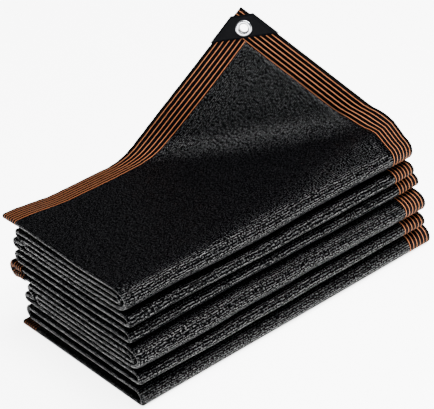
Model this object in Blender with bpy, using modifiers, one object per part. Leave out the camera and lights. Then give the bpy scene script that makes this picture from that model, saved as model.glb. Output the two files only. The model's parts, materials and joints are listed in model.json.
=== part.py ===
"""Folded knitted shade cloth with a striped border tape and one raised eyelet corner.

Metres, +Z up. The long side lies along X and the left end is at -X. The cloth is doubled
at its left end and then laid back and forth across Y, with the fold noses at -Y.
"""
import math

import bmesh
import bpy
from mathutils import Matrix, Vector

# Overall size of the folded cloth.
LENGTH = 0.420
TOP_WIDTH = 0.2635
CENTRE_X = 0.21544
CENTRE_Y = 0.13843

# The sheet: knitted cloth, doubled, and the woven tape along its edges.
CLOTH_THICKNESS = 0.0018
TAPE_THICKNESS = 0.0021
TAPE_WIDTH = 0.0315
HALF_PLY_GAP = 0.0023
SEAT = 0.0003
END_SEGMENTS = 5

# Two bundles of eight doubled layers: the height of each layer's middle, the top one first.
LAYER_HEIGHTS = (0.1576, 0.1492, 0.1410, 0.1328, 0.1250, 0.1143, 0.1035, 0.0915,
                 0.0810, 0.0717, 0.0635, 0.0553, 0.0475, 0.0350, 0.0212, 0.00335)

# Each fold leads from one layer to another: its tip in Y, the length of its rounded part,
# how far the tip sags, and the pieces its curve is made of.
# side, from layer, to layer, tip, rounded length, sag, pieces
FOLDS = (
    ("front", 1, 4, -0.0080, 0.0230, -0.0025, 11),
    ("back", 4, 3, 0.2125, 0.0050, 0.0000, 6),
    ("front", 3, 2, 0.0035, 0.0070, 0.0010, 7),
    ("lobed", 2, 5, 0.2431, 0.0000, 0.0000, 6),
    ("front", 5, 6, -0.0045, 0.0090, 0.0000, 8),
    ("back", 6, 7, 0.2504, 0.0060, 0.0000, 6),
    ("front", 7, 8, 0.0040, 0.0085, 0.0000, 7),
    ("middle", 8, 9, 0.2726, 0.0230, 0.0000, 14),
    ("front", 9, 12, -0.0014, 0.0230, -0.0025, 11),
    ("back", 12, 11, 0.2255, 0.0050, 0.0000, 6),
    ("front", 11, 10, 0.0100, 0.0070, 0.0010, 7),
    ("lobed", 10, 13, 0.2563, 0.0000, 0.0000, 6),
    ("front", 13, 14, 0.0055, 0.0090, 0.0000, 8),
    ("back", 14, 15, 0.2636, 0.0072, 0.0000, 6),
    ("front", 15, 16, 0.0130, 0.0080, 0.0000, 7),
)
BOTTOM_EDGE = 0.2880
STRAIGHT_PIECES = 3
TOP_FRONT_ROWS = (0.120, 0.085, 0.060, 0.044, 0.034, 0.025)
MIDDLE_BULGE = 0.0072
# A lobed fold has a small round above, a hollow and a larger round below that reaches out.
LOBE_SHARE = 0.333
LOBE_BACK = 0.0143

# The raised corner turns up about a line across the top layer, and is drawn in at its tip.
BEND_START_X = 0.15457
BEND_TURN = math.radians(43.8)
BEND_LENGTH = 0.0385
BEND_ANGLE = math.radians(79.6)
BEND_STEPS = 8
BEND_FADE_START = 0.015
BEND_FADE_END = 0.049
TIP_PINCH = 0.0020
TIP_PINCH_REACH = 0.048

# The stack isn't true: its right end steps in and out from one front fold to the next, its
# top layer swells up beside the raised corner, and its back left corner stands higher.
TOP_RIGHT_SHIFT = -0.0030
FRONT_FOLD_SHIFTS = (-0.0125, -0.0125, -0.0105, 0.0, 0.0, 0.0, 0.0010, 0.0120)
TOP_LEFT_SHIFT = 0.0020
TOP_BACK_SKEW = 0.0045
SWELL = 0.0115
BACK_LEFT_LIFT = 0.040

# A band two tapes wide, sewn over the middle back fold and round the left end.
MIDDLE_BAND_THICKNESS = 0.0010

# The corner patch is a sleeve across the corner, measured down the corner's diagonal, and
# its upper and lower edges slant.
PATCH_NEAR = 0.0124
PATCH_FAR = 0.0402
PATCH_SLANT = 0.030
PATCH_LIP = 0.0006
PATCH_WALL = 0.0009
PATCH_CLEAR = 0.0004

# The eyelet is a rolled metal ring through the patch and the tape.
EYELET_DOWN = 0.0281
EYELET_OUTER = 0.0100
EYELET_BORE = 0.0052
EYELET_BARREL = 0.0060
EYELET_HOLE = 0.0064
EYELET_ROLL = 0.0016
EYELET_STEPS = 40


def clear_scene():
    for item in list(bpy.data.objects):
        bpy.data.objects.remove(item, do_unlink=True)


def new_material(name, colour, roughness, metallic=0.0):
    material = bpy.data.materials.new(name)
    material.use_nodes = True
    shader = material.node_tree.nodes["Principled BSDF"]
    shader.inputs["Base Color"].default_value = (*colour, 1.0)
    shader.inputs["Roughness"].default_value = roughness
    shader.inputs["Metallic"].default_value = metallic
    return material


def smooth(share):
    """0 to 1 with level ends."""
    share = min(max(share, 0.0), 1.0)
    return share * share * (3.0 - 2.0 * share)


def table_value(table, at):
    """Value between the rows of a short table."""
    for (low, first), (high, second) in zip(table, table[1:]):
        if at <= high:
            return first + (second - first) * max(0.0, (at - low) / (high - low))
    return table[-1][1]


def layer_height(layer):
    return LAYER_HEIGHTS[layer - 1]


def lobed_curve(top, bottom, tip, pieces):
    """A small round, a hollow and a larger round that reaches the tip."""
    small = (top - bottom) * LOBE_SHARE / 2.0
    large = (top - bottom) / 2.0 - 2.0 * small
    inner = tip - LOBE_BACK - small
    points = []
    for centre, height, radius, hollow in ((inner, top - small, small, 1.0),
                                           (inner, top - 3.0 * small, small, -1.0),
                                           (tip - large, bottom + large, large, 1.0)):
        for step in range(pieces + 1):
            turn = math.pi * step / pieces
            point = Vector((centre + hollow * radius * math.sin(turn),
                            height + radius * math.cos(turn)))
            if not points or (point - points[-1]).length > 0.0002:
                points.append(point)
    return points


def bulb_curve(top, bottom, tip, reach, pieces):
    """The layers part towards the tip and close round a wider turn."""
    middle = (top + bottom) / 2.0
    half = (top - bottom) / 2.0
    widest = math.radians(130.0)
    neck = tip - reach
    centre = tip - MIDDLE_BULGE
    shoulder = centre + MIDDLE_BULGE * math.cos(widest)
    rise = MIDDLE_BULGE * math.sin(widest)
    points = []
    for step in range(pieces + 1):
        share = step / pieces
        if share < 0.25 or share > 0.75:
            ease = min(share, 1.0 - share) / 0.25
            height = half + (rise - half) * ease * ease
            side = 1.0 if share < 0.25 else -1.0
            points.append(Vector((neck + (shoulder - neck) * ease, middle + side * height)))
        else:
            turn = -widest + 2.0 * widest * (share - 0.25) / 0.5
            points.append(Vector((centre + MIDDLE_BULGE * math.cos(turn),
                                  middle - MIDDLE_BULGE * math.sin(turn))))
    return points


def fold_curve(side, start, end, tip, reach, sag, pieces):
    """Points of one fold between two layers, from the first layer to the next one."""
    top = layer_height(start)
    bottom = layer_height(end)
    if side == "lobed":
        return lobed_curve(top, bottom, tip, pieces)
    if side == "middle":
        return bulb_curve(top, bottom, tip, reach, pieces)
    middle = (top + bottom) / 2.0
    half = (top - bottom) / 2.0
    inward = 1.0 if side == "front" else -1.0
    points = []
    for step in range(pieces + 1):
        angle = math.pi * step / pieces
        points.append(Vector((
            tip + inward * reach * (1.0 - math.sin(angle)),
            middle + half * math.cos(angle) - sag * math.sin(angle) ** 2,
        )))
    return points


def straight(first, last, pieces):
    """Points between two ends, without the ends."""
    return [first.lerp(last, step / pieces) for step in range(1, pieces)]


def fold_path():
    """The whole middle line across Y and Z, and the places of its front folds."""
    noses = []
    path = [Vector((TOP_WIDTH, layer_height(1)))]
    path.append(Vector((TOP_WIDTH - TAPE_WIDTH, layer_height(1))))
    path.append(Vector((TOP_WIDTH - TAPE_WIDTH - SEAT, layer_height(1))))
    for fold in FOLDS:
        curve = fold_curve(*fold)
        if fold is FOLDS[0]:
            path += [Vector((y, layer_height(1))) for y in TOP_FRONT_ROWS]
        else:
            path += straight(path[-1], curve[0], STRAIGHT_PIECES)
        if fold[0] == "front":
            noses.append(len(path) + len(curve) // 2)
        path += curve
    edge = Vector((BOTTOM_EDGE, layer_height(16)))
    inner = Vector((BOTTOM_EDGE - TAPE_WIDTH - SEAT, layer_height(16)))
    path += straight(path[-1], inner, STRAIGHT_PIECES)
    path += [inner, Vector((BOTTOM_EDGE - TAPE_WIDTH, layer_height(16))), edge]
    return path, noses


PATH, NOSES = fold_path()
RUN = [0.0]
for before, after in zip(PATH, PATH[1:]):
    RUN.append(RUN[-1] + (after - before).length)
TOTAL_RUN = RUN[-1]
SHIFTS = [(0.0, TOP_RIGHT_SHIFT), (TOP_WIDTH - 0.030, TOP_RIGHT_SHIFT)]
SHIFTS += [(RUN[index], shift) for index, shift in zip(NOSES, FRONT_FOLD_SHIFTS)]
SHIFTS.append((TOTAL_RUN, FRONT_FOLD_SHIFTS[-1]))
MIDDLE_FOLD_POINTS = [index for index, point in enumerate(PATH)
                      if point.x > 0.2490 and 0.072 < point.y < 0.100]
RUN_AT_MIDDLE_FOLD = (RUN[MIDDLE_FOLD_POINTS[0]], RUN[MIDDLE_FOLD_POINTS[-1]])


def path_normals():
    """Outward side of the line at each of its points, up on the top layer."""
    normals = []
    for index in range(len(PATH)):
        before = PATH[max(index - 1, 0)]
        after = PATH[min(index + 1, len(PATH) - 1)]
        along = (after - before).normalized()
        normals.append(Vector((along.y, -along.x)))
    return normals


NORMALS = path_normals()


def at_run(run):
    """Place and outward side of the middle line at a length along it."""
    run = min(max(run, 0.0), TOTAL_RUN)
    low = 0
    high = len(RUN) - 1
    while high - low > 1:
        middle = (low + high) // 2
        if RUN[middle] <= run:
            low = middle
        else:
            high = middle
    share = (run - RUN[low]) / (RUN[high] - RUN[low])
    return PATH[low].lerp(PATH[high], share), NORMALS[low].lerp(NORMALS[high], share)


# The doubled cross direction: out along the upper ply, round the left end and back.
PLY_LENGTH = LENGTH - HALF_PLY_GAP - CLOTH_THICKNESS / 2.0
END_TURN = math.pi * HALF_PLY_GAP
TOTAL_ACROSS = 2.0 * PLY_LENGTH + END_TURN


def at_across(across, offset):
    """X and the side step at a length along the doubled direction, 0 at the right end."""
    radius = HALF_PLY_GAP + offset
    if across <= PLY_LENGTH:
        return LENGTH - across, radius
    if across < PLY_LENGTH + END_TURN:
        turn = (across - PLY_LENGTH) / HALF_PLY_GAP
        return LENGTH - PLY_LENGTH - radius * math.sin(turn), radius * math.cos(turn)
    return LENGTH - (TOTAL_ACROSS - across), -radius


def top_share(run):
    """1 on the top layer, fading to 0 round its front fold."""
    straight_end = TOP_WIDTH - FOLDS[0][3] - FOLDS[0][4]
    return 1.0 - min(max((run - straight_end) / 0.045, 0.0), 1.0)


def unevenness(x, height):
    """How far the layers wander in Y, more in the middle of the stack than at its foot."""
    return 0.0011 * math.sin(x / 0.060 + height / 0.017) * min(height / 0.012, 1.0)


def bend_frame():
    out = Vector((math.sin(BEND_TURN), math.cos(BEND_TURN), 0.0))
    along = Vector((math.cos(BEND_TURN), -math.sin(BEND_TURN), 0.0))
    start = Vector((BEND_START_X, TOP_WIDTH, 0.0))
    return start, out, along


def raise_corner(flat):
    """Turns a point of the flat top ply up about the bend line."""
    start, out, along = bend_frame()
    past = (flat - start).dot(out)
    if past <= 0.0:
        return flat
    on_arc = min(past, BEND_LENGTH)
    radius = BEND_LENGTH / BEND_ANGLE
    angle = on_arc / radius
    level = radius * math.sin(angle) + (past - on_arc) * math.cos(angle)
    rise = radius * (1.0 - math.cos(angle)) + (past - on_arc) * math.sin(angle)
    # Towards the front fold the bend dies out, so that the fold keeps its shape.
    fade = smooth((flat.y - BEND_FADE_START) / (BEND_FADE_END - BEND_FADE_START))
    from_tip = LENGTH - flat.x + TOP_WIDTH - flat.y
    pinch = TIP_PINCH * smooth(1.0 - from_tip / TIP_PINCH_REACH)
    drawn = flat - Vector((pinch, pinch, 0.0))
    level += (drawn - flat).dot(out) * math.cos(BEND_ANGLE)
    rise += (drawn - flat).dot(out) * math.sin(BEND_ANGLE)
    aside = (drawn - flat).dot(along) * along
    return flat + (out * (level - past) + Vector((0.0, 0.0, rise))) * fade + aside


def uneven(flat, run, raised):
    """How far a point of the true stack moves, given how far the bend raises it."""
    right = min(max(flat.x / LENGTH, 0.0), 1.0)
    flatness = 1.0 - smooth(raised / 0.03)
    on_top = smooth((flat.z - 0.1524) / 0.0020) * smooth((flat.y - 0.05) / 0.15)
    move_x = table_value(SHIFTS, run) * right ** 2 * flatness
    move_x += TOP_LEFT_SHIFT * (1.0 - right) ** 2 * on_top
    move_y = -TOP_BACK_SKEW * (1.0 - right) * on_top * flatness
    window = flatness
    if raised == 0.0:
        window = 1.0 - smooth((flat.y - 0.04) / 0.10)
    height = min(max((flat.z - 0.1275) / 0.028, 0.0), 1.0)
    swell = SWELL * height ** 2 * right ** 3 * smooth(flat.y / 0.03)
    lift = BACK_LEFT_LIFT * smooth((flat.y - 0.05) / 0.20) * smooth((0.08 - flat.x) / 0.08)
    return Vector((move_x, move_y, swell * window + flat.z * lift))


def lay(run, across, offset=0.0):
    """Takes a point of the flat cloth to its place in the fold."""
    place, side = at_run(run)
    x, step = at_across(across, offset)
    share = top_share(run)
    flat = Vector((x, place.x + side.x * step, place.y + side.y * step))
    flat.y += unevenness(x, flat.z) * (1.0 - share)
    point = flat
    if share == 1.0 and across < PLY_LENGTH:
        point = raise_corner(flat)
    return point + uneven(flat, run, point.z - flat.z)


def laid_sheet(name, runs, acrosses, thickness, material, offset=0.0, bend_cuts=False):
    """A grid with its rows at the given lengths, cut at the bend lines, laid and thickened."""
    bm = bmesh.new()
    bmesh.ops.create_grid(bm, x_segments=len(acrosses) - 1, y_segments=len(runs) - 1, size=0.5)
    for vert in bm.verts:
        column = round((vert.co.x + 0.5) * (len(acrosses) - 1))
        row = round((vert.co.y + 0.5) * (len(runs) - 1))
        vert.co = Vector((acrosses[column], runs[row], 0.0))
    if bend_cuts:
        cut_at_bend(bm)
    flat = [(vert, vert.co.copy()) for vert in bm.verts]
    for vert, place in flat:
        vert.co = lay(place.y, place.x, offset)
    mesh = bpy.data.meshes.new(name)
    bm.to_mesh(mesh)
    bm.free()
    mesh.shade_smooth()
    sheet = bpy.data.objects.new(name, mesh)
    collection.objects.link(sheet)
    mesh.materials.append(material)
    solidify = sheet.modifiers.new("Thickness", "SOLIDIFY")
    solidify.thickness = thickness
    solidify.offset = 0.0
    solidify.use_even_offset = True
    return sheet


def cut_at_bend(bm):
    """Adds an edge along every bend line, on the upper ply of the top layer only."""
    start, out, along = bend_frame()
    for step in range(BEND_STEPS + 1):
        past = BEND_LENGTH * step / BEND_STEPS
        faces = [face for face in bm.faces if is_top_ply(face.calc_center_median())]
        edges = {edge for face in faces for edge in face.edges}
        verts = {vert for face in faces for vert in face.verts}
        # In the flat cloth X runs back from the right end and Y back from the free edge.
        line = Vector((
            LENGTH - (start.x + out.x * past),
            TOP_WIDTH - (start.y + out.y * past),
            0.0,
        ))
        across = Vector((-out.x, -out.y, 0.0))
        bmesh.ops.bisect_plane(
            bm,
            geom=list(verts) + list(edges) + faces,
            dist=0.00002,
            plane_co=line,
            plane_no=across,
        )


def is_top_ply(centre):
    return centre.x < PLY_LENGTH and centre.y < TOP_WIDTH - FOLDS[0][3] - FOLDS[0][4]


def runs_between(first, last):
    """The fold's own rows between two lengths, with the two ends."""
    inside = [run for run in RUN if first + 0.00005 < run < last - 0.00005]
    return [first] + inside + [last]


def acrosses_between(first, last, spacing):
    """Columns between two lengths: wide apart on the plies, close round the left end."""
    turn = [PLY_LENGTH + END_TURN * step / END_SEGMENTS for step in range(END_SEGMENTS + 1)]
    count = max(1, math.ceil((PLY_LENGTH - first) / spacing)) if first < PLY_LENGTH else 0
    columns = [first + (PLY_LENGTH - first) * step / count for step in range(count)]
    columns += [value for value in turn if first <= value <= last]
    if last > PLY_LENGTH + END_TURN:
        start = PLY_LENGTH + END_TURN
        count = max(1, math.ceil((last - start) / spacing))
        columns += [start + (last - start) * step / count for step in range(1, count + 1)]
    return columns


def corner_place():
    """Frame of the raised corner before it is drawn in: its tip, across, up and out."""
    beside = lay(0.0, 0.06)
    below = lay(0.06, 0.0)
    inside = lay(0.06, 0.06)
    tip = beside + below - inside
    left = (beside - tip).normalized()
    front = (below - tip).normalized()
    down = (left + front).normalized()
    facing = front.cross(left).normalized()
    if facing.z < 0.0:
        facing.negate()
    across = facing.cross(down).normalized()
    frame = Matrix((across, -down, facing)).transposed().to_4x4()
    frame.translation = tip
    return frame


def finish_solid(name, bm, frame, target=None):
    mesh = bpy.data.meshes.new(name)
    bm.to_mesh(mesh)
    bm.free()
    solid = bpy.data.objects.new(name, mesh)
    (target or collection).objects.link(solid)
    solid.matrix_world = frame
    return solid


def patch_block(name, lip, half_thickness, near, far, frame, target=None):
    """A flat wedge across the corner, its slanted sides a lip outside the tape's edges."""
    bm = bmesh.new()
    bmesh.ops.create_cube(bm, size=1.0)
    for vert in bm.verts:
        down = near if vert.co.y > 0.0 else far
        side = math.copysign(1.0, vert.co.x)
        half = (down + lip * math.sqrt(2.0)) / (1.0 + side * PATCH_SLANT)
        vert.co = Vector((side * half, side * half * PATCH_SLANT - down,
                          math.copysign(half_thickness, vert.co.z)))
    return finish_solid(name, bm, frame, target)


def hole_cutter(name, radius, frame):
    bm = bmesh.new()
    bmesh.ops.create_cone(bm, cap_ends=True, segments=EYELET_STEPS, radius1=radius,
                          radius2=radius, depth=0.03)
    bmesh.ops.translate(bm, vec=(0.0, -EYELET_DOWN, 0.0), verts=bm.verts)
    return hide_cutter(finish_solid(name, bm, frame, cutters))


def hide_cutter(cutter):
    cutter.hide_render = True
    cutter.display_type = "WIRE"
    return cutter


def cut(target, cutter, name):
    boolean = target.modifiers.new(name, "BOOLEAN")
    boolean.operation = "DIFFERENCE"
    boolean.solver = "EXACT"
    boolean.object = cutter


clear_scene()
collection = bpy.data.collections.new("folded_shade_cloth")
bpy.context.scene.collection.children.link(collection)
cutters = bpy.data.collections.new("folded_shade_cloth_cutters")
bpy.context.scene.collection.children.link(cutters)

cloth_black = new_material("knitted_cloth_black", (0.022, 0.023, 0.025), 0.85)
tape_stripe = new_material("striped_tape", (0.180, 0.075, 0.030), 0.80)
patch_black = new_material("patch_webbing_black", (0.015, 0.016, 0.018), 0.65)
eyelet_metal = new_material("eyelet_metal", (0.750, 0.760, 0.770), 0.30, 1.0)

# The cloth stops short of the tapes that are butted to its four edges.
edge = TAPE_WIDTH + SEAT
laid_sheet(
    "shade_cloth",
    runs_between(edge, TOTAL_RUN - edge),
    acrosses_between(edge, TOTAL_ACROSS - edge, 0.14),
    CLOTH_THICKNESS,
    cloth_black,
    bend_cuts=True,
)

# Tape along the top free edge and along the bottom one, each round the doubled left end.
laid_sheet(
    "tape_top_edge",
    [0.0, TAPE_WIDTH],
    acrosses_between(edge, TOTAL_ACROSS - edge, 0.14),
    TAPE_THICKNESS,
    tape_stripe,
    bend_cuts=True,
)
laid_sheet(
    "tape_bottom_edge",
    [TOTAL_RUN - TAPE_WIDTH, TOTAL_RUN],
    acrosses_between(edge, TOTAL_ACROSS - edge, 0.14),
    TAPE_THICKNESS,
    tape_stripe,
)

# Tape down the right end of the upper ply and of the lower ply, through every fold.
raised_tape = laid_sheet(
    "tape_right_upper",
    runs_between(0.0, TOTAL_RUN),
    [0.0, TAPE_WIDTH],
    TAPE_THICKNESS,
    tape_stripe,
    bend_cuts=True,
)
laid_sheet(
    "tape_right_lower",
    runs_between(0.0, TOTAL_RUN),
    [TOTAL_ACROSS - TAPE_WIDTH, TOTAL_ACROSS],
    TAPE_THICKNESS,
    tape_stripe,
)

# The band over the middle back fold: round the left end and along the fold's outer ply.
middle_run = (RUN_AT_MIDDLE_FOLD[0] + RUN_AT_MIDDLE_FOLD[1]) / 2.0
laid_sheet(
    "tape_middle_fold",
    runs_between(middle_run - TAPE_WIDTH, middle_run + TAPE_WIDTH),
    acrosses_between(PLY_LENGTH, TOTAL_ACROSS - edge, 0.14),
    MIDDLE_BAND_THICKNESS,
    tape_stripe,
    offset=CLOTH_THICKNESS / 2.0 + SEAT + MIDDLE_BAND_THICKNESS / 2.0,
)

corner = corner_place()
patch = patch_block(
    "corner_patch",
    PATCH_LIP + PATCH_WALL,
    TAPE_THICKNESS / 2.0 + PATCH_CLEAR + PATCH_WALL,
    PATCH_NEAR,
    PATCH_FAR,
    corner,
)
patch.data.materials.append(patch_black)
pocket = hide_cutter(patch_block(
    "patch_pocket",
    PATCH_LIP,
    TAPE_THICKNESS / 2.0 + PATCH_CLEAR,
    PATCH_NEAR - 0.004,
    PATCH_FAR + 0.004,
    corner,
    cutters,
))
cut(patch, pocket, "Pocket")
eyelet_hole = hole_cutter("eyelet_hole", EYELET_HOLE, corner)
cut(patch, eyelet_hole, "Eyelet hole")
cut(raised_tape, eyelet_hole, "Eyelet hole")

# Half profile of the eyelet, X from its axis: down the outside and up through the bore.
seat_height = TAPE_THICKNESS / 2.0 + PATCH_CLEAR + PATCH_WALL + SEAT
profile = []
for step in range(7):
    turn = math.radians(-10.0 + 100.0 * step / 6.0)
    profile.append((0.0076 + 0.0024 * math.cos(turn), seat_height + EYELET_ROLL * math.sin(turn)))
for step in range(1, 6):
    turn = math.radians(90.0 + 90.0 * step / 5.0)
    profile.append((0.0076 + 0.0024 * math.cos(turn), seat_height + EYELET_ROLL * math.sin(turn)))
profile = [(max(x, EYELET_BORE), max(z, seat_height)) for x, z in profile]
profile = profile[::-1]
outline = [(EYELET_BORE, -seat_height - 0.0009)]
outline += [(EYELET_BORE, seat_height + 0.0002)]
outline += [point for point in profile if point[1] > seat_height + 0.0002]
outline += [(EYELET_OUTER, seat_height)]
outline += [(EYELET_BARREL, seat_height), (EYELET_BARREL, -seat_height)]
outline += [(EYELET_OUTER - 0.0008, -seat_height), (EYELET_OUTER - 0.0012, -seat_height - 0.0009)]
bm = bmesh.new()
ring = [bm.verts.new((x, 0.0, z)) for x, z in outline]
for first, second in zip(ring, ring[1:] + ring[:1]):
    bm.edges.new((first, second))
eyelet = finish_solid("eyelet_ring", bm, corner @ Matrix.Translation((0.0, -EYELET_DOWN, 0.0)))
eyelet.data.materials.append(eyelet_metal)
screw = eyelet.modifiers.new("Turned", "SCREW")
screw.steps = EYELET_STEPS
screw.render_steps = EYELET_STEPS
screw.use_merge_vertices = True
screw.merge_threshold = 0.00001
screw.use_smooth_shade = True

# Stand the model on its footprint's centre.
for item in list(collection.objects) + list(cutters.objects):
    item.matrix_world = Matrix.Translation((-CENTRE_X, -CENTRE_Y, 0.0)) @ item.matrix_world
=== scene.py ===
"""Folded knitted shade cloth with striped tape, a corner patch and a metal eyelet."""
import json
import math

import bmesh
import bpy
from mathutils import Matrix, Vector, noise

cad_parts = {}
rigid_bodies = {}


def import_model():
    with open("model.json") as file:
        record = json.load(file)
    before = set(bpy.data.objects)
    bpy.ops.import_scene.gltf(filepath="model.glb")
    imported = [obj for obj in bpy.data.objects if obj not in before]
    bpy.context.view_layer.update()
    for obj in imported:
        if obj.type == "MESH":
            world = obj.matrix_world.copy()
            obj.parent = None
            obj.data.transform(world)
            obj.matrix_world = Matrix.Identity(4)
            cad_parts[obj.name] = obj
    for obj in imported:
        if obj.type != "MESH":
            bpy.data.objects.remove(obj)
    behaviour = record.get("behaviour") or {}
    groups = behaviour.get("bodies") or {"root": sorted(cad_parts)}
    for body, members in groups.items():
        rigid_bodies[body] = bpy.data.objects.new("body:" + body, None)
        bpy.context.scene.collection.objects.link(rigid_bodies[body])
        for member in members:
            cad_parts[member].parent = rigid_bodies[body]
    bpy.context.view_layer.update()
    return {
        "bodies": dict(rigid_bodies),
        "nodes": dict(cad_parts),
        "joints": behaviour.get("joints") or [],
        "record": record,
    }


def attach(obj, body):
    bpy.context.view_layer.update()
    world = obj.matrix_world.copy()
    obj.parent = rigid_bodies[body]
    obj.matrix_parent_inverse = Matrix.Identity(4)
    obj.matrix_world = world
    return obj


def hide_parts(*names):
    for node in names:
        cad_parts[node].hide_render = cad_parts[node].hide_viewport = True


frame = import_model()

# The shade cloth: one knitted sheet of flat black plastic yarn, doubled at its left end and
# laid back and forth across Y in two bundles of eight layers, with rounded noses in front.
# Its top ply is turned up at the far right corner.
LENGTH = 0.420
TOP_WIDTH = 0.2635
CENTRE_X = 0.21544
CENTRE_Y = 0.13843
CLOTH_THICKNESS = 0.0018
TAPE_THICKNESS = 0.0021
TAPE_WIDTH = 0.0315
HALF_PLY_GAP = 0.0023
SEAT = 0.0003
LAYER_HEIGHTS = (0.1576, 0.1492, 0.1410, 0.1328, 0.1250, 0.1143, 0.1035, 0.0915,
                 0.0810, 0.0717, 0.0635, 0.0553, 0.0475, 0.0350, 0.0212, 0.00335)

# Each fold leads from one layer to another: its tip in Y, the length of its rounded part,
# and how far the tip sags.
# side, from layer, to layer, tip, rounded length, sag
FOLDS = (
    ("front", 1, 4, -0.0080, 0.0230, -0.0025),
    ("back", 4, 3, 0.2125, 0.0050, 0.0000),
    ("front", 3, 2, 0.0035, 0.0070, 0.0010),
    ("lobed", 2, 5, 0.2431, 0.0000, 0.0000),
    ("front", 5, 6, -0.0045, 0.0090, 0.0000),
    ("back", 6, 7, 0.2504, 0.0060, 0.0000),
    ("front", 7, 8, 0.0040, 0.0085, 0.0000),
    ("middle", 8, 9, 0.2726, 0.0230, 0.0000),
    ("front", 9, 12, -0.0014, 0.0230, -0.0025),
    ("back", 12, 11, 0.2255, 0.0050, 0.0000),
    ("front", 11, 10, 0.0100, 0.0070, 0.0010),
    ("lobed", 10, 13, 0.2563, 0.0000, 0.0000),
    ("front", 13, 14, 0.0055, 0.0090, 0.0000),
    ("back", 14, 15, 0.2636, 0.0072, 0.0000),
    ("front", 15, 16, 0.0130, 0.0080, 0.0000),
)
BOTTOM_EDGE = 0.2880
MIDDLE_BULGE = 0.0072
# A lobed fold has a small round above, a hollow and a larger round below that reaches out.
LOBE_SHARE = 0.333
LOBE_BACK = 0.0143

# The raised corner turns up about a line across the top layer, and is drawn in at its tip.
BEND_START_X = 0.15457
BEND_TURN = math.radians(43.8)
BEND_LENGTH = 0.0385
BEND_ANGLE = math.radians(79.6)
BEND_FADE_START = 0.015
BEND_FADE_END = 0.049
TIP_PINCH = 0.0020
TIP_PINCH_REACH = 0.048

# The stack isn't true: its right end steps in and out from one front fold to the next, its
# top layer swells up beside the raised corner, and its back left corner stands higher.
TOP_RIGHT_SHIFT = -0.0030
FRONT_FOLD_SHIFTS = (-0.0125, -0.0125, -0.0105, 0.0, 0.0, 0.0, 0.0010, 0.0120)
TOP_LEFT_SHIFT = 0.0020
TOP_BACK_SKEW = 0.0045
SWELL = 0.0115
BACK_LEFT_LIFT = 0.040

# Where those take hold: first place and the length over which each comes in, in metres.
TOP_LAYER_FADE = (0.1524, 0.0020)
TOP_BACK_FADE = (0.05, 0.15)
RAISED_FADE = 0.03
SWELL_HEIGHT = (0.1275, 0.028)
SWELL_FRONT_FADE = 0.03
SWELL_BACK_FADE = (0.04, 0.10)
LIFT_BACK_FADE = (0.05, 0.20)
LIFT_LEFT_REACH = 0.08

# Soft waves that the whole stack shares, and how far above the foot they come in.
WANDER = 0.0011
WANDER_LENGTHS = (0.060, 0.017)
WANDER_FOOT = 0.012
SOFT_LIFT = 0.0010
SOFT_SWAY = 0.0018
SOFT_FOOT = 0.05

ROW_STEP = 0.0100
NOSE_PIECES = 18


def smooth(share):
    """0 to 1 with level ends."""
    share = min(max(share, 0.0), 1.0)
    return share * share * (3.0 - 2.0 * share)


def comes_in(at, fade):
    """0 before the first place and 1 past the length after it."""
    return smooth((at - fade[0]) / fade[1])


def table_value(table, at):
    """Value between the rows of a short table."""
    for (low, first), (high, second) in zip(table, table[1:]):
        if at <= high:
            return first + (second - first) * max(0.0, (at - low) / (high - low))
    return table[-1][1]


def layer_height(layer):
    return LAYER_HEIGHTS[layer - 1]


def lobed_curve(top, bottom, tip, pieces):
    """A small round, a hollow and a larger round that reaches the tip."""
    small = (top - bottom) * LOBE_SHARE / 2.0
    large = (top - bottom) / 2.0 - 2.0 * small
    inner = tip - LOBE_BACK - small
    points = []
    for centre, height, radius, hollow in ((inner, top - small, small, 1.0),
                                           (inner, top - 3.0 * small, small, -1.0),
                                           (tip - large, bottom + large, large, 1.0)):
        for step in range(pieces + 1):
            turn = math.pi * step / pieces
            point = Vector((centre + hollow * radius * math.sin(turn),
                            height + radius * math.cos(turn)))
            if not points or (point - points[-1]).length > 0.0002:
                points.append(point)
    return points


def bulb_curve(top, bottom, tip, reach, pieces):
    """The layers part towards the tip and close round a wider turn."""
    middle = (top + bottom) / 2.0
    half = (top - bottom) / 2.0
    widest = math.radians(130.0)
    neck = tip - reach
    centre = tip - MIDDLE_BULGE
    shoulder = centre + MIDDLE_BULGE * math.cos(widest)
    rise = MIDDLE_BULGE * math.sin(widest)
    points = []
    for step in range(pieces + 1):
        share = step / pieces
        if share < 0.25 or share > 0.75:
            ease = min(share, 1.0 - share) / 0.25
            height = half + (rise - half) * ease * ease
            side = 1.0 if share < 0.25 else -1.0
            points.append(Vector((neck + (shoulder - neck) * ease, middle + side * height)))
        else:
            turn = -widest + 2.0 * widest * (share - 0.25) / 0.5
            points.append(Vector((centre + MIDDLE_BULGE * math.cos(turn),
                                  middle - MIDDLE_BULGE * math.sin(turn))))
    return points


def fold_curve(side, start, end, tip, reach, sag, pieces=NOSE_PIECES):
    """Points of one fold between two layers, from the first layer to the next one."""
    top = layer_height(start)
    bottom = layer_height(end)
    if side == "lobed":
        return lobed_curve(top, bottom, tip, pieces)
    if side == "middle":
        return bulb_curve(top, bottom, tip, reach, pieces)
    middle = (top + bottom) / 2.0
    half = (top - bottom) / 2.0
    inward = 1.0 if side == "front" else -1.0
    points = []
    for step in range(pieces + 1):
        angle = math.pi * step / pieces
        points.append(Vector((
            tip + inward * reach * (1.0 - math.sin(angle)),
            middle + half * math.cos(angle) - sag * math.sin(angle) ** 2,
        )))
    return points


def rows_to(path, last):
    """Adds evenly spaced points up to a point, without it."""
    first = path[-1]
    count = max(1, math.ceil((last - first).length / ROW_STEP))
    path += [first.lerp(last, step / count) for step in range(1, count)]


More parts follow.
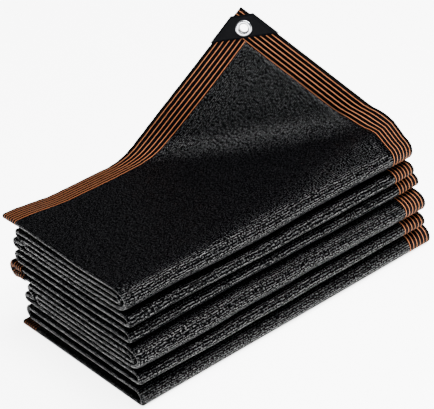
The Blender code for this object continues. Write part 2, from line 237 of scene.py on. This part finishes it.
def fold_path():
    """The whole middle line across Y and Z, and the places of its front folds."""
    path = [Vector((TOP_WIDTH, layer_height(1)))]
    noses = []
    for inset in (TAPE_WIDTH, TAPE_WIDTH + SEAT):
        last = Vector((TOP_WIDTH - inset, layer_height(1)))
        rows_to(path, last)
        path.append(last)
    for fold in FOLDS:
        curve = fold_curve(*fold)
        rows_to(path, curve[0])
        if fold[0] == "front":
            noses.append(len(path) + len(curve) // 2)
        path += curve
    for inset in (TAPE_WIDTH + SEAT, TAPE_WIDTH, 0.0):
        last = Vector((BOTTOM_EDGE - inset, layer_height(16)))
        rows_to(path, last)
        path.append(last)
    return path, noses


PATH, NOSES = fold_path()
RUN = [0.0]
for before, after in zip(PATH, PATH[1:]):
    RUN.append(RUN[-1] + (after - before).length)
TOTAL_RUN = RUN[-1]
SHIFTS = [(0.0, TOP_RIGHT_SHIFT), (TOP_WIDTH - 0.030, TOP_RIGHT_SHIFT)]
SHIFTS += [(RUN[index], shift) for index, shift in zip(NOSES, FRONT_FOLD_SHIFTS)]
SHIFTS.append((TOTAL_RUN, FRONT_FOLD_SHIFTS[-1]))
NORMALS = []
for index in range(len(PATH)):
    along = PATH[min(index + 1, len(PATH) - 1)] - PATH[max(index - 1, 0)]
    along.normalize()
    NORMALS.append(Vector((along.y, -along.x)))
PLY_LENGTH = LENGTH - HALF_PLY_GAP - CLOTH_THICKNESS / 2.0
END_TURN = math.pi * HALF_PLY_GAP
TOTAL_ACROSS = 2.0 * PLY_LENGTH + END_TURN
EDGE = TAPE_WIDTH + SEAT


def at_run(run):
    """Place and outward side of the middle line at a length along it."""
    run = min(max(run, 0.0), TOTAL_RUN)
    low = 0
    high = len(RUN) - 1
    while high - low > 1:
        middle = (low + high) // 2
        if RUN[middle] <= run:
            low = middle
        else:
            high = middle
    share = (run - RUN[low]) / (RUN[high] - RUN[low])
    return PATH[low].lerp(PATH[high], share), NORMALS[low].lerp(NORMALS[high], share)


def at_across(across, offset):
    """X and the side step at a length along the doubled direction, 0 at the right end."""
    radius = HALF_PLY_GAP + offset
    if across <= PLY_LENGTH:
        return LENGTH - across, radius
    if across < PLY_LENGTH + END_TURN:
        turn = (across - PLY_LENGTH) / HALF_PLY_GAP
        return LENGTH - PLY_LENGTH - radius * math.sin(turn), radius * math.cos(turn)
    return LENGTH - (TOTAL_ACROSS - across), -radius


TOP_SHARE_FADE = 0.045


def top_share(run):
    """1 on the top layer, fading to 0 round its front fold."""
    straight_end = TOP_WIDTH - FOLDS[0][3] - FOLDS[0][4]
    return 1.0 - min(max((run - straight_end) / TOP_SHARE_FADE, 0.0), 1.0)


def bend_frame():
    out = Vector((math.sin(BEND_TURN), math.cos(BEND_TURN), 0.0))
    along = Vector((math.cos(BEND_TURN), -math.sin(BEND_TURN), 0.0))
    start = Vector((BEND_START_X, TOP_WIDTH, 0.0))
    return start, out, along


def raise_corner(flat):
    """Turns a point of the flat top ply up about the bend line."""
    start, out, along = bend_frame()
    past = (flat - start).dot(out)
    if past <= 0.0:
        return flat
    on_arc = min(past, BEND_LENGTH)
    radius = BEND_LENGTH / BEND_ANGLE
    angle = on_arc / radius
    level = radius * math.sin(angle) + (past - on_arc) * math.cos(angle)
    rise = radius * (1.0 - math.cos(angle)) + (past - on_arc) * math.sin(angle)
    # Towards the front fold the bend dies out, so that the fold keeps its shape.
    fade = smooth((flat.y - BEND_FADE_START) / (BEND_FADE_END - BEND_FADE_START))
    from_tip = LENGTH - flat.x + TOP_WIDTH - flat.y
    pinch = TIP_PINCH * smooth(1.0 - from_tip / TIP_PINCH_REACH)
    drawn = flat - Vector((pinch, pinch, 0.0))
    level += (drawn - flat).dot(out) * math.cos(BEND_ANGLE)
    rise += (drawn - flat).dot(out) * math.sin(BEND_ANGLE)
    aside = (drawn - flat).dot(along) * along
    return flat + (out * (level - past) + Vector((0.0, 0.0, rise))) * fade + aside


def uneven(flat, run, raised):
    """How far a point of the true stack moves, given how far the bend raises it."""
    right = min(max(flat.x / LENGTH, 0.0), 1.0)
    flatness = 1.0 - smooth(raised / RAISED_FADE)
    on_top = comes_in(flat.z, TOP_LAYER_FADE) * comes_in(flat.y, TOP_BACK_FADE)
    move_x = table_value(SHIFTS, run) * right ** 2 * flatness
    move_x += TOP_LEFT_SHIFT * (1.0 - right) ** 2 * on_top
    move_y = -TOP_BACK_SKEW * (1.0 - right) * on_top * flatness
    window = flatness
    if raised == 0.0:
        window = 1.0 - comes_in(flat.y, SWELL_BACK_FADE)
    height = min(max((flat.z - SWELL_HEIGHT[0]) / SWELL_HEIGHT[1], 0.0), 1.0)
    swell = SWELL * height ** 2 * right ** 3 * smooth(flat.y / SWELL_FRONT_FADE)
    leftward = smooth((LIFT_LEFT_REACH - flat.x) / LIFT_LEFT_REACH)
    lift = BACK_LEFT_LIFT * comes_in(flat.y, LIFT_BACK_FADE) * leftward
    return Vector((move_x, move_y, swell * window + flat.z * lift))


def lay(run, across, offset=0.0):
    """Takes a point of the flat cloth to its place in the fold, about the part's origin."""
    place, side = at_run(run)
    x, step = at_across(across, offset)
    share = top_share(run)
    flat = Vector((x, place.x + side.x * step, place.y + side.y * step))
    wander = WANDER * math.sin(x / WANDER_LENGTHS[0] + flat.z / WANDER_LENGTHS[1])
    wander *= min(flat.z / WANDER_FOOT, 1.0)
    flat.y += wander * (1.0 - share)
    point = flat
    if share == 1.0 and across < PLY_LENGTH:
        point = raise_corner(flat)
    point = point + uneven(flat, run, point.z - flat.z)
    # Soft unevenness that neighbouring layers share, dying out at the foot.
    grip = min(max(point.z / SOFT_FOOT, 0.0), 1.0)
    sway = noise.noise(Vector((point.x / 0.075, point.y / 0.120, point.z / 0.090)))
    lift = noise.noise(Vector((point.x / 0.090 + 7.0, point.y / 0.070, 3.0)))
    point.z += SOFT_LIFT * lift * grip
    point.y += SOFT_SWAY * sway * grip
    return point - Vector((CENTRE_X, CENTRE_Y, 0.0))


def rows_between(first, last):
    inside = [run for run in RUN if first + 0.0002 < run < last - 0.0002]
    return [first] + inside + [last]


def columns_between(first, last, spacing):
    """Columns between two lengths, close together round the left end."""
    turn_end = PLY_LENGTH + END_TURN
    stops = [first]
    for low, high, step in ((first, PLY_LENGTH, spacing), (PLY_LENGTH, turn_end, END_TURN / 10),
                            (turn_end, last, spacing)):
        if high <= first or low >= last:
            continue
        low = max(low, first)
        high = min(high, last)
        count = max(1, math.ceil((high - low) / step - 0.001))
        stops += [low + (high - low) * index / count for index in range(1, count + 1)]
    return stops


def laid_sheet(name, rows, columns, thickness, offset=0.0, ripple=None):
    """A flat grid laid in the fold, with a UV map in metres: across, and along the run."""
    bm = bmesh.new()
    bmesh.ops.create_grid(bm, x_segments=len(columns) - 1, y_segments=len(rows) - 1, size=0.5,
                          calc_uvs=True)
    layer = bm.loops.layers.uv.verify()
    flat = {}
    for vert in bm.verts:
        column = round((vert.co.x + 0.5) * (len(columns) - 1))
        row = round((vert.co.y + 0.5) * (len(rows) - 1))
        flat[vert] = (columns[column], rows[row])
    for face in bm.faces:
        for loop in face.loops:
            loop[layer].uv = flat[loop.vert]
    for vert, (across, run) in flat.items():
        vert.co = lay(run, across, offset)
        if ripple:
            vert.co += ripple(across, run)
    mesh = bpy.data.meshes.new(name)
    bm.to_mesh(mesh)
    bm.free()
    mesh.shade_smooth()
    sheet = bpy.data.objects.new(name, mesh)
    bpy.context.scene.collection.objects.link(sheet)
    solidify = sheet.modifiers.new("Ply", "SOLIDIFY")
    solidify.thickness = thickness
    solidify.offset = 0.0
    solidify.use_even_offset = True
    return sheet


def shader_of(name, colour, roughness):
    """A material with its nodes, its Principled shader and a way to add and join nodes."""
    material = bpy.data.materials.new(name)
    material.use_nodes = True
    nodes = material.node_tree.nodes
    links = material.node_tree.links
    shader = nodes["Principled BSDF"]
    shader.inputs["Base Color"].default_value = (*colour, 1.0)
    shader.inputs["Roughness"].default_value = roughness

    def sums(operation, *values):
        node = nodes.new("ShaderNodeMath")
        node.operation = operation
        for index, value in enumerate(values):
            if isinstance(value, (int, float)):
                node.inputs[index].default_value = value
            else:
                links.new(value, node.inputs[index])
        return node.outputs[0]

    return material, nodes, links, shader, sums


LOOP_PITCH = 0.0016
LOOP_ROW_PITCH = 0.0021
LOOP_DRIFT = 0.0022


def knitted_black():
    """Raschel knit: rows of loops with flat yarn between them, which glints where it turns."""
    material, nodes, links, shader, sums = shader_of("knitted_cloth", (0.003, 0.003, 0.003), 0.33)
    uv = nodes.new("ShaderNodeUVMap")
    split = nodes.new("ShaderNodeSeparateXYZ")
    links.new(uv.outputs[0], split.inputs[0])
    across = split.outputs[0]
    along = split.outputs[1]
    # Rows of loops every 2.1 mm along the run, loops every 1.6 mm across, both a little uneven.
    drift = nodes.new("ShaderNodeTexNoise")
    drift.inputs["Scale"].default_value = 90.0
    links.new(uv.outputs[0], drift.inputs["Vector"])
    wander = sums("MULTIPLY", drift.outputs[0], LOOP_DRIFT)
    loops = sums("SINE", sums("MULTIPLY", sums("ADD", across, wander), math.tau / LOOP_PITCH))
    rows = sums("SINE", sums("MULTIPLY", sums("ADD", along, wander), math.tau / LOOP_ROW_PITCH))
    weave = sums("MULTIPLY", sums("ADD", loops, 1.0), sums("ADD", rows, 1.0))
    # The flat yarn lies in short lengths along the rows.
    strands = nodes.new("ShaderNodeCombineXYZ")
    links.new(sums("MULTIPLY", across, 0.55), strands.inputs[0])
    links.new(along, strands.inputs[1])
    speck = nodes.new("ShaderNodeTexNoise")
    speck.inputs["Scale"].default_value = 780.0
    speck.inputs["Detail"].default_value = 2.0
    speck.inputs["Roughness"].default_value = 0.65
    links.new(strands.outputs[0], speck.inputs["Vector"])
    height = sums("ADD", sums("MULTIPLY", weave, 0.06), sums("MULTIPLY", speck.outputs[0], 1.2))
    bump = nodes.new("ShaderNodeBump")
    bump.inputs["Strength"].default_value = 1.0
    bump.inputs["Distance"].default_value = 0.00055
    links.new(height, bump.inputs["Height"])
    links.new(bump.outputs[0], shader.inputs["Normal"])
    # Only the crowns of the flat yarn shine; the gaps between them are dead black.
    crown = nodes.new("ShaderNodeMapRange")
    crown.interpolation_type = "SMOOTHSTEP"
    crown.inputs["From Min"].default_value = 0.745
    crown.inputs["From Max"].default_value = 0.845
    links.new(height, crown.inputs["Value"])
    # The crowns' paler base colour is a painted glint, on top of their real higher gloss.
    painted_glint_tint = nodes.new("ShaderNodeMix")
    painted_glint_tint.data_type = "RGBA"
    painted_glint_tint.inputs[6].default_value = (0.0003, 0.0003, 0.0004, 1.0)
    painted_glint_tint.inputs[7].default_value = (0.006, 0.0062, 0.0075, 1.0)
    links.new(crown.outputs[0], painted_glint_tint.inputs[0])
    links.new(painted_glint_tint.outputs[2], shader.inputs["Base Color"])
    gloss = sums("ADD", sums("MULTIPLY", crown.outputs[0], 0.68), 0.002)
    links.new(gloss, shader.inputs["Specular IOR Level"])
    return material


# The cloth's edges run a little way into the folded tape.
CLOTH_EDGE = TAPE_WIDTH - 0.0006
cloth = laid_sheet(
    "knitted_cloth",
    rows_between(CLOTH_EDGE, TOTAL_RUN - CLOTH_EDGE),
    columns_between(CLOTH_EDGE, PLY_LENGTH, 0.0095)
    + columns_between(PLY_LENGTH, TOTAL_ACROSS - CLOTH_EDGE, 0.0240)[1:],
    CLOTH_THICKNESS,
)
cloth_look = knitted_black()
cloth.data.materials.append(cloth_look)
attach(cloth, "root")
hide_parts("shade_cloth")

# The border tape: woven black tape 31.5 mm wide with six thin orange lines, sewn along the
# cloth's edges. It goes round the doubled left end on the top and bottom edges, through
# every fold at the right end, and in two widths over the middle back fold.
STRIPE_FIRST = 0.0048
STRIPE_PITCH = 0.00518
STRIPE_HALF = 0.00028
STRIPE_COUNT = 6


def striped_tape(name, edge_channel, edge_at, sign, mirror_at=None):
    """Stripes at set distances from the tape's outer edge, which the UV map gives.

    With mirror_at, two tapes lie side by side and meet at that distance from edge_at.
    """
    material, nodes, links, shader, sums = shader_of(name, (0.004, 0.004, 0.004), 0.60)
    shader.inputs["Specular IOR Level"].default_value = 0.015
    uv = nodes.new("ShaderNodeUVMap")
    split = nodes.new("ShaderNodeSeparateXYZ")
    links.new(uv.outputs[0], split.inputs[0])
    inward = sums("MULTIPLY", sums("SUBTRACT", split.outputs[edge_channel], edge_at), sign)
    if mirror_at:
        inward = sums("ABSOLUTE", sums("SUBTRACT", inward, mirror_at))
    length = split.outputs[1 - edge_channel]
    place = sums("DIVIDE", sums("SUBTRACT", inward, STRIPE_FIRST), STRIPE_PITCH)
    nearest = sums("MINIMUM", sums("MAXIMUM", sums("ROUND", place), 0.0), STRIPE_COUNT - 1.0)
    away = sums("MULTIPLY", sums("ABSOLUTE", sums("SUBTRACT", place, nearest)), STRIPE_PITCH)
    ribs = sums("SINE", sums("MULTIPLY", length, math.tau / 0.0013))
    line = nodes.new("ShaderNodeMapRange")
    line.interpolation_type = "SMOOTHSTEP"
    line.inputs["From Min"].default_value = STRIPE_HALF * 1.25
    line.inputs["From Max"].default_value = STRIPE_HALF * 0.75
    links.new(away, line.inputs["Value"])
    wear = nodes.new("ShaderNodeTexNoise")
    wear.inputs["Scale"].default_value = 160.0
    links.new(uv.outputs[0], wear.inputs["Vector"])
    strength = sums("MULTIPLY", line.outputs[0],
                    sums("ADD", sums("MULTIPLY", wear.outputs[0], 0.4), 0.72))
    mix = nodes.new("ShaderNodeMix")
    mix.data_type = "RGBA"
    mix.clamp_factor = True
    links.new(strength, mix.inputs[0])
    mix.inputs[6].default_value = (0.0010, 0.0007, 0.0007, 1.0)
    mix.inputs[7].default_value = (0.400, 0.145, 0.060, 1.0)
    links.new(mix.outputs[2], shader.inputs["Base Color"])
    height = sums("ADD", sums("MULTIPLY", ribs, 0.35), sums("MULTIPLY", line.outputs[0], 0.9))
    bump = nodes.new("ShaderNodeBump")
    bump.inputs["Strength"].default_value = 0.6
    bump.inputs["Distance"].default_value = 0.0005
    links.new(height, bump.inputs["Height"])
    links.new(bump.outputs[0], shader.inputs["Normal"])
    return material


def edge_ripple(across, run):
    """The sewing draws the tape in, so its outer edge puckers a little."""
    if across > PLY_LENGTH:
        return Vector((0.0, 0.0, 0.0))
    free = max(0.0, 1.0 - run / 0.016)
    return Vector((0.0, 0.0, 0.0005 * free * noise.noise(Vector((across / 0.011, 2.0, 0.0)))))


def tape_piece(name, node, rows, columns, thickness, look, offset=0.0, ripple=None):
    piece = laid_sheet(name, rows, columns, thickness, offset, ripple)
    piece.data.materials.append(look)
    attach(piece, "root")
    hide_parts(node)
    return piece


def spread(first, last, count):
    return [first + (last - first) * step / count for step in range(count + 1)]


middle_points = [index for index, point in enumerate(PATH)
                 if point.x > 0.2490 and 0.072 < point.y < 0.100]
middle_run = (RUN[middle_points[0]] + RUN[middle_points[-1]]) / 2.0
middle_start = middle_run - TAPE_WIDTH

top_tape = tape_piece(
    "top_edge_tape", "tape_top_edge",
    spread(0.0, TAPE_WIDTH, 8),
    columns_between(EDGE, TOTAL_ACROSS - EDGE, 0.0025),
    TAPE_THICKNESS, striped_tape("tape_top", 1, 0.0, 1.0), ripple=edge_ripple,
)
bottom_tape = tape_piece(
    "bottom_edge_tape", "tape_bottom_edge",
    spread(TOTAL_RUN - TAPE_WIDTH, TOTAL_RUN, 8),
    columns_between(EDGE, TOTAL_ACROSS - EDGE, 0.0060),
    TAPE_THICKNESS, striped_tape("tape_bottom", 1, TOTAL_RUN, -1.0),
)
middle_tape = tape_piece(
    "middle_fold_tape", "tape_middle_fold",
    rows_between(middle_start, middle_start + 2.0 * TAPE_WIDTH),
    columns_between(PLY_LENGTH, TOTAL_ACROSS - EDGE, 0.0060),
    0.0010, striped_tape("tape_middle", 1, middle_start, 1.0, mirror_at=TAPE_WIDTH),
    offset=CLOTH_THICKNESS / 2.0 + SEAT + 0.0005,
)
right_look = striped_tape("tape_right_front", 0, 0.0, 1.0)
right_upper_tape = tape_piece(
    "right_end_tape_upper", "tape_right_upper",
    rows_between(0.0, TOTAL_RUN), spread(0.0, TAPE_WIDTH, 8),
    TAPE_THICKNESS, right_look,
)
right_lower_tape = tape_piece(
    "right_end_tape_lower", "tape_right_lower",
    rows_between(0.0, TOTAL_RUN), spread(TOTAL_ACROSS - TAPE_WIDTH, TOTAL_ACROSS, 8),
    TAPE_THICKNESS, striped_tape("tape_right_back", 0, TOTAL_ACROSS, -1.0),
)

# The corner patch: a strip of smooth black webbing folded over the raised corner, with its
# two slanted edges standing a little outside the tape.
PATCH_NEAR = 0.0124
PATCH_FAR = 0.0402
PATCH_SLANT = 0.030
PATCH_WALL = 0.0009
PATCH_CLEAR = 0.0004
EYELET_DOWN = 0.0281
EYELET_HOLE = 0.0064


def corner_frame():
    """Frame of the raised corner before it is drawn in: its tip, across, up and out."""
    beside = lay(0.0, 0.06)
    below = lay(0.06, 0.0)
    inside = lay(0.06, 0.06)
    tip = beside + below - inside
    left = (beside - tip).normalized()
    front = (below - tip).normalized()
    down = (left + front).normalized()
    facing = front.cross(left).normalized()
    if facing.z < 0.0:
        facing.negate()
    across = facing.cross(down).normalized()
    frame = Matrix((across, -down, facing)).transposed().to_4x4()
    frame.translation = tip
    return frame


CORNER = corner_frame()


def placed(name, bm, place, soft=True):
    """Finishes a mesh with its place in its points and its object at the origin."""
    bmesh.ops.transform(bm, matrix=place, verts=bm.verts)
    mesh = bpy.data.meshes.new(name)
    bm.to_mesh(mesh)
    bm.free()
    if soft:
        mesh.shade_smooth()
    piece = bpy.data.objects.new(name, mesh)
    bpy.context.scene.collection.objects.link(piece)
    return piece


def webbing_sleeve():
    """A flat loop with round sides, drawn down the diagonal and widened as it goes."""
    half_thick = TAPE_THICKNESS / 2.0 + PATCH_CLEAR + PATCH_WALL / 2.0
    bm = bmesh.new()
    bmesh.ops.create_circle(bm, segments=40, radius=1.0)
    ring = sorted(bm.verts, key=lambda vert: math.atan2(vert.co.y, vert.co.x))
    for index, vert in enumerate(ring):
        share = index / len(ring) * 4.0
        side = int(share)
        part = share - side
        if side % 2 == 0:
            turn = math.pi * part + (-math.pi / 2.0 if side == 0 else math.pi / 2.0)
            vert.co = Vector((math.copysign(1.0, 1.0 - side), math.cos(turn), math.sin(turn)))
        else:
            edge = 1.0 - 2.0 * part if side == 1 else -1.0 + 2.0 * part
            vert.co = Vector((edge, 0.0, 1.0 if side == 1 else -1.0))
    flat = {vert: vert.co.copy() for vert in ring}

    def set_ring(verts, down):
        half = down - 0.0008
        for vert in verts:
            shape = flat[vert]
            side = math.copysign(1.0, shape.x)
            reach = half / (1.0 + side * PATCH_SLANT)
            x = shape.x * reach + side * half_thick * abs(shape.y)
            vert.co = Vector((x, x * PATCH_SLANT - down, shape.z * half_thick))

    edges = list(bm.edges)
    current = ring
    set_ring(ring, PATCH_NEAR)
    for step in range(1, 12):
        down = PATCH_NEAR + (PATCH_FAR - PATCH_NEAR) * step / 11.0
        shapes = [flat[vert] for vert in current]
        grown = bmesh.ops.extrude_edge_only(bm, edges=edges)
        fresh = [item for item in grown["geom"] if isinstance(item, bmesh.types.BMVert)]
        edges = [item for item in grown["geom"] if isinstance(item, bmesh.types.BMEdge)
                 and all(vert in fresh for vert in item.verts)]
        pairs = []
        for vert, shape in zip(current, shapes):
            partner = next(edge.other_vert(vert) for edge in vert.link_edges
                           if edge.other_vert(vert) in fresh)
            flat[partner] = shape
            pairs.append(partner)
        current = pairs
        set_ring(current, down)
    bmesh.ops.recalc_face_normals(bm, faces=bm.faces)
    return placed("corner_webbing", bm, CORNER)


def drill(piece, radius):
    """Cuts the eyelet's hole through a finished piece and keeps the cut mesh."""
    bm = bmesh.new()
    bmesh.ops.create_cone(bm, cap_ends=True, segments=64, radius1=radius, radius2=radius,
                          depth=0.02)
    drill_bit = placed("eyelet_drill", bm, CORNER @ Matrix.Translation((0, -EYELET_DOWN, 0)))
    boolean = piece.modifiers.new("Hole", "BOOLEAN")
    boolean.operation = "DIFFERENCE"
    boolean.solver = "EXACT"
    boolean.object = drill_bit
    ready = piece.evaluated_get(bpy.context.evaluated_depsgraph_get())
    cut_mesh = bpy.data.meshes.new_from_object(ready)
    piece.modifiers.clear()
    piece.data = cut_mesh
    bpy.data.objects.remove(drill_bit, do_unlink=True)


def patch_webbing():
    material, nodes, links, shader, sums = shader_of("patch_webbing", (0.0010, 0.0011, 0.0015),
                                                     0.45)
    shader.inputs["Specular IOR Level"].default_value = 0.02
    coords = nodes.new("ShaderNodeTexCoord")
    grain = nodes.new("ShaderNodeTexNoise")
    grain.inputs["Scale"].default_value = 900.0
    links.new(coords.outputs["Object"], grain.inputs["Vector"])
    bump = nodes.new("ShaderNodeBump")
    bump.inputs["Strength"].default_value = 0.25
    bump.inputs["Distance"].default_value = 0.0004
    links.new(grain.outputs[0], bump.inputs["Height"])
    links.new(bump.outputs[0], shader.inputs["Normal"])
    return material


patch = webbing_sleeve()
wall = patch.modifiers.new("Webbing", "SOLIDIFY")
wall.thickness = PATCH_WALL
wall.offset = 0.0
drill(patch, EYELET_HOLE)
drill(right_upper_tape, EYELET_HOLE)
patch.data.materials.append(patch_webbing())
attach(patch, "root")
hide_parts("corner_patch")

# The eyelet: a bright aluminium ring with a rolled rim, pressed through the patch and the
# tape, with a plain washer behind. Its bore is open.
EYELET_BORE = 0.0052
EYELET_OUTER = 0.0100
RIM_HALF_WIDTH = (EYELET_OUTER - EYELET_BORE) / 2.0
RIM_HEIGHT = 0.0016
SEAT_HEIGHT = TAPE_THICKNESS / 2.0 + PATCH_CLEAR + PATCH_WALL + SEAT


def eyelet_profile():
    """Half section from the washer's rim up through the bore and over the rolled rim."""
    points = [
        (EYELET_OUTER - 0.0008, -SEAT_HEIGHT),
        (EYELET_OUTER - 0.0010, -SEAT_HEIGHT - 0.0006),
        (EYELET_OUTER - 0.0016, -SEAT_HEIGHT - 0.0009),
        (EYELET_BORE + 0.0008, -SEAT_HEIGHT - 0.0009),
        (EYELET_BORE, -SEAT_HEIGHT - 0.0003),
        (EYELET_BORE, SEAT_HEIGHT),
    ]
    for step in range(15):
        turn = math.pi - math.pi * step / 14.0
        points.append((EYELET_BORE + RIM_HALF_WIDTH * (1.0 + math.cos(turn)),
                       SEAT_HEIGHT + RIM_HEIGHT * math.sin(turn)))
    points.append((EYELET_OUTER, SEAT_HEIGHT))
    points.append((EYELET_BORE + 0.0008, SEAT_HEIGHT))
    points.append((EYELET_BORE + 0.0008, -SEAT_HEIGHT))
    return points


bm = bmesh.new()
ring = [bm.verts.new((x, 0.0, z)) for x, z in eyelet_profile()]
for first, second in zip(ring, ring[1:] + ring[:1]):
    bm.edges.new((first, second))
bmesh.ops.spin(bm, geom=list(bm.verts) + list(bm.edges), cent=(0, 0, 0), axis=(0, 0, 1),
               angle=math.tau, steps=72, use_merge=True)
bmesh.ops.remove_doubles(bm, verts=bm.verts, dist=0.000001)
bmesh.ops.recalc_face_normals(bm, faces=bm.faces)
# The bore's wall and the foot of the rim get a near-black metal: painted shade in these hollows.
for face in bm.faces:
    reach = [Vector(vert.co.xy).length for vert in face.verts]
    if max(reach) < EYELET_BORE + 0.0007 or min(reach) > EYELET_OUTER - 0.0004:
        face.material_index = 1
eyelet = placed("eyelet", bm, CORNER @ Matrix.Translation((0, -EYELET_DOWN, 0)))
metal, nodes, links, shader, sums = shader_of("eyelet_metal", (0.42, 0.43, 0.45), 0.28)
shader.inputs["Metallic"].default_value = 1.0
eyelet.data.materials.append(metal)
# Near-black metal as painted shade for the bore's wall and the rim's foot.
painted_shade_metal, nodes, links, shader, sums = shader_of("eyelet_painted_shade_metal", (0.035, 0.035, 0.038), 0.45)
shader.inputs["Metallic"].default_value = 1.0
eyelet.data.materials.append(painted_shade_metal)
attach(eyelet, "root")
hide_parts("eyelet_ring")

# The floor, the light and the camera: a plain white ground that glows a little, under soft
# light from above, the right and the left. The camera looks from the fold noses' side, with
# the picture turned a little, as the photo is.
bm = bmesh.new()
bmesh.ops.create_grid(bm, x_segments=1, y_segments=1, size=4.0)
floor = placed("floor", bm, Matrix.Translation((0.0, 0.0, -0.0002)), soft=False)
floor_look, nodes, links, shader, sums = shader_of("floor_white", (0.90, 0.90, 0.90), 0.9)
shader.inputs["Emission Color"].default_value = (1.0, 1.0, 1.0, 1.0)
shader.inputs["Emission Strength"].default_value = 5.5
floor.data.materials.append(floor_look)

world = bpy.data.worlds.new("soft_white")
world.use_nodes = True
world.node_tree.nodes["Background"].inputs[0].default_value = (1.0, 1.0, 1.0, 1.0)
world.node_tree.nodes["Background"].inputs[1].default_value = 0.20
bpy.context.scene.world = world


def soft_light(name, place, target, size, power):
    lamp = bpy.data.lights.new(name, "AREA")
    lamp.shape = "SQUARE"
    lamp.size = size
    lamp.energy = power
    lamp_object = bpy.data.objects.new(name, lamp)
    lamp_object.location = place
    aim = (Vector(target) - Vector(place)).to_track_quat("-Z", "Y")
    lamp_object.rotation_euler = aim.to_euler()
    bpy.context.scene.collection.objects.link(lamp_object)


soft_light("key", (0.75, -0.95, 1.45), (0.0, 0.0, 0.1), 0.35, 60.0)
soft_light("left", (-1.3, -0.85, 0.20), (0.05, 0.0, 0.30), 0.38, 19.0)
above = bpy.data.lights.new("above", "SUN")
above.energy = 9.0
above.angle = math.radians(25.0)
above_object = bpy.data.objects.new("above", above)
above_object.rotation_euler = Vector((0.15, -0.30, 0.94)).to_track_quat("Z", "Y").to_euler()
bpy.context.scene.collection.objects.link(above_object)

CAMERA_AZIMUTH = 0.52863
CAMERA_RISE = 0.47522
CAMERA_ROLL = -0.21777
CAMERA_AWAY = 1.8
CAMERA_TARGET = Vector((0.22302 - CENTRE_X, 0.14185 - CENTRE_Y, 0.11286))
METRES_ACROSS = 434 * 0.0012

back = Vector((-math.sin(CAMERA_AZIMUTH) * math.cos(CAMERA_RISE),
               -math.cos(CAMERA_AZIMUTH) * math.cos(CAMERA_RISE), math.sin(CAMERA_RISE)))
right = Vector((math.cos(CAMERA_AZIMUTH), -math.sin(CAMERA_AZIMUTH), 0.0))
up = back.cross(right)
turned_right = math.cos(CAMERA_ROLL) * right + math.sin(CAMERA_ROLL) * up
turned_up = -math.sin(CAMERA_ROLL) * right + math.cos(CAMERA_ROLL) * up
camera_data = bpy.data.cameras.new("camera")
camera_data.sensor_width = 36.0
camera_data.lens = 36.0 * CAMERA_AWAY / METRES_ACROSS
camera = bpy.data.objects.new("camera", camera_data)
pose = Matrix((turned_right, turned_up, back)).transposed().to_4x4()
pose.translation = CAMERA_TARGET + back * CAMERA_AWAY
camera.matrix_world = pose
bpy.context.scene.collection.objects.link(camera)
bpy.context.scene.camera = camera
